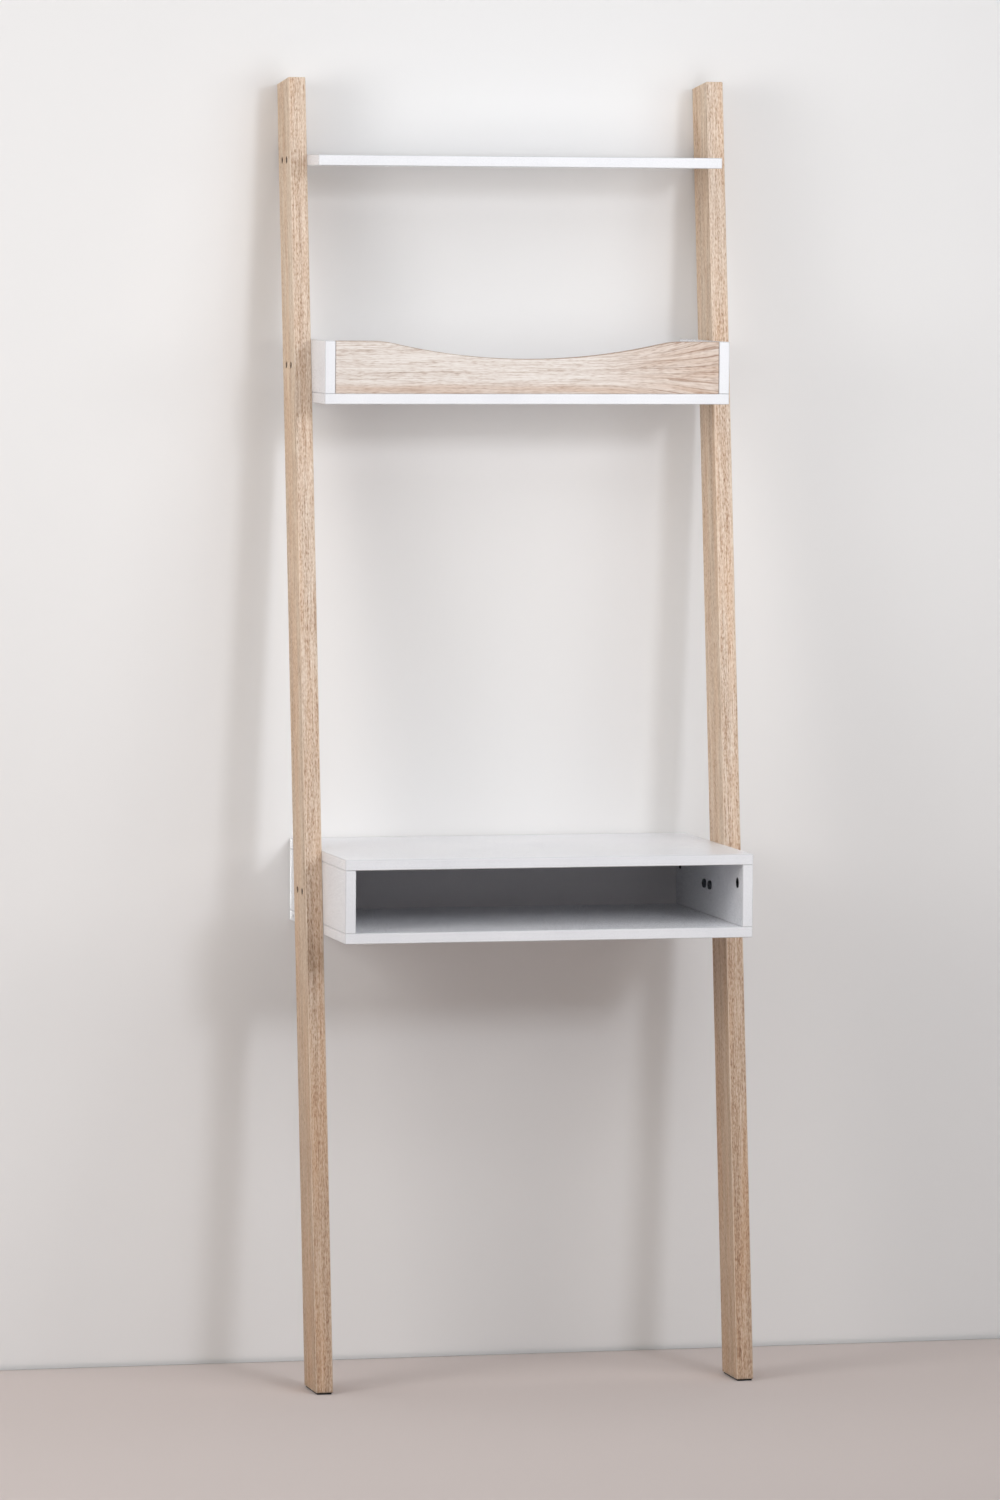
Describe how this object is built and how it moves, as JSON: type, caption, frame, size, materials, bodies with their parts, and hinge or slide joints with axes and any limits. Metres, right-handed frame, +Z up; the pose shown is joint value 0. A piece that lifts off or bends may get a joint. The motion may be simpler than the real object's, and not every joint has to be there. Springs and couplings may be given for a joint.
{
  "type": "ladder desk",
  "caption": "Leaning ladder desk: oak-effect rails carry a white open-fronted desk box, a tray with a dipped oak-effect front and a plain top shelf against a wall.",
  "frame": {"origin": "on the floor, midway between the rails and midway between the desk's front edge and the wall plane", "axes": "+Z up, +Y towards the wall that the desk leans on, +X to the right of someone facing the desk"},
  "size_m": [0.64, 0.36, 1.8498],
  "materials": {
    "oak_effect": "oak-effect foil, satin",
    "white_board": "white melamine, matt",
    "hardboard": "white-faced hardboard, matt",
    "foot_rubber": "black rubber sheet",
    "black_steel": "blackened steel",
    "cam_alloy": "dark nickelled cast alloy",
    "zinc_steel": "zinc-plated steel",
    "beech": "fluted beech, raw"
  },
  "bodies": {
    "root": {"left_rail": "oak_effect", "right_rail": "oak_effect", "tray_front": "oak_effect", "top_shelf": "white_board", "tray_bottom": "white_board", "tray_left_side": "white_board", "tray_right_side": "white_board", "desk_top": "white_board", "desk_bottom": "white_board", "desk_left_side": "white_board", "desk_right_side": "white_board", "desk_back": "hardboard", "left_foot_pad": "foot_rubber", "right_foot_pad": "foot_rubber", "shelf_bolts": "black_steel", "tray_bolts": "black_steel", "desk_bolts": "black_steel", "tray_cap_nuts": "black_steel", "desk_cap_nuts": "black_steel", "desk_cam_locks": "cam_alloy", "shelf_barrel_nuts": "zinc_steel", "desk_cam_pins": "zinc_steel", "desk_bottom_screws": "zinc_steel", "tray_bottom_screws": "zinc_steel", "tray_front_screws": "zinc_steel", "wall_brackets": "zinc_steel", "bracket_screws": "zinc_steel", "desk_top_dowels": "beech", "desk_bottom_dowels": "beech", "tray_side_dowels": "beech", "tray_front_dowels": "beech"}
  },
  "joints": []
}
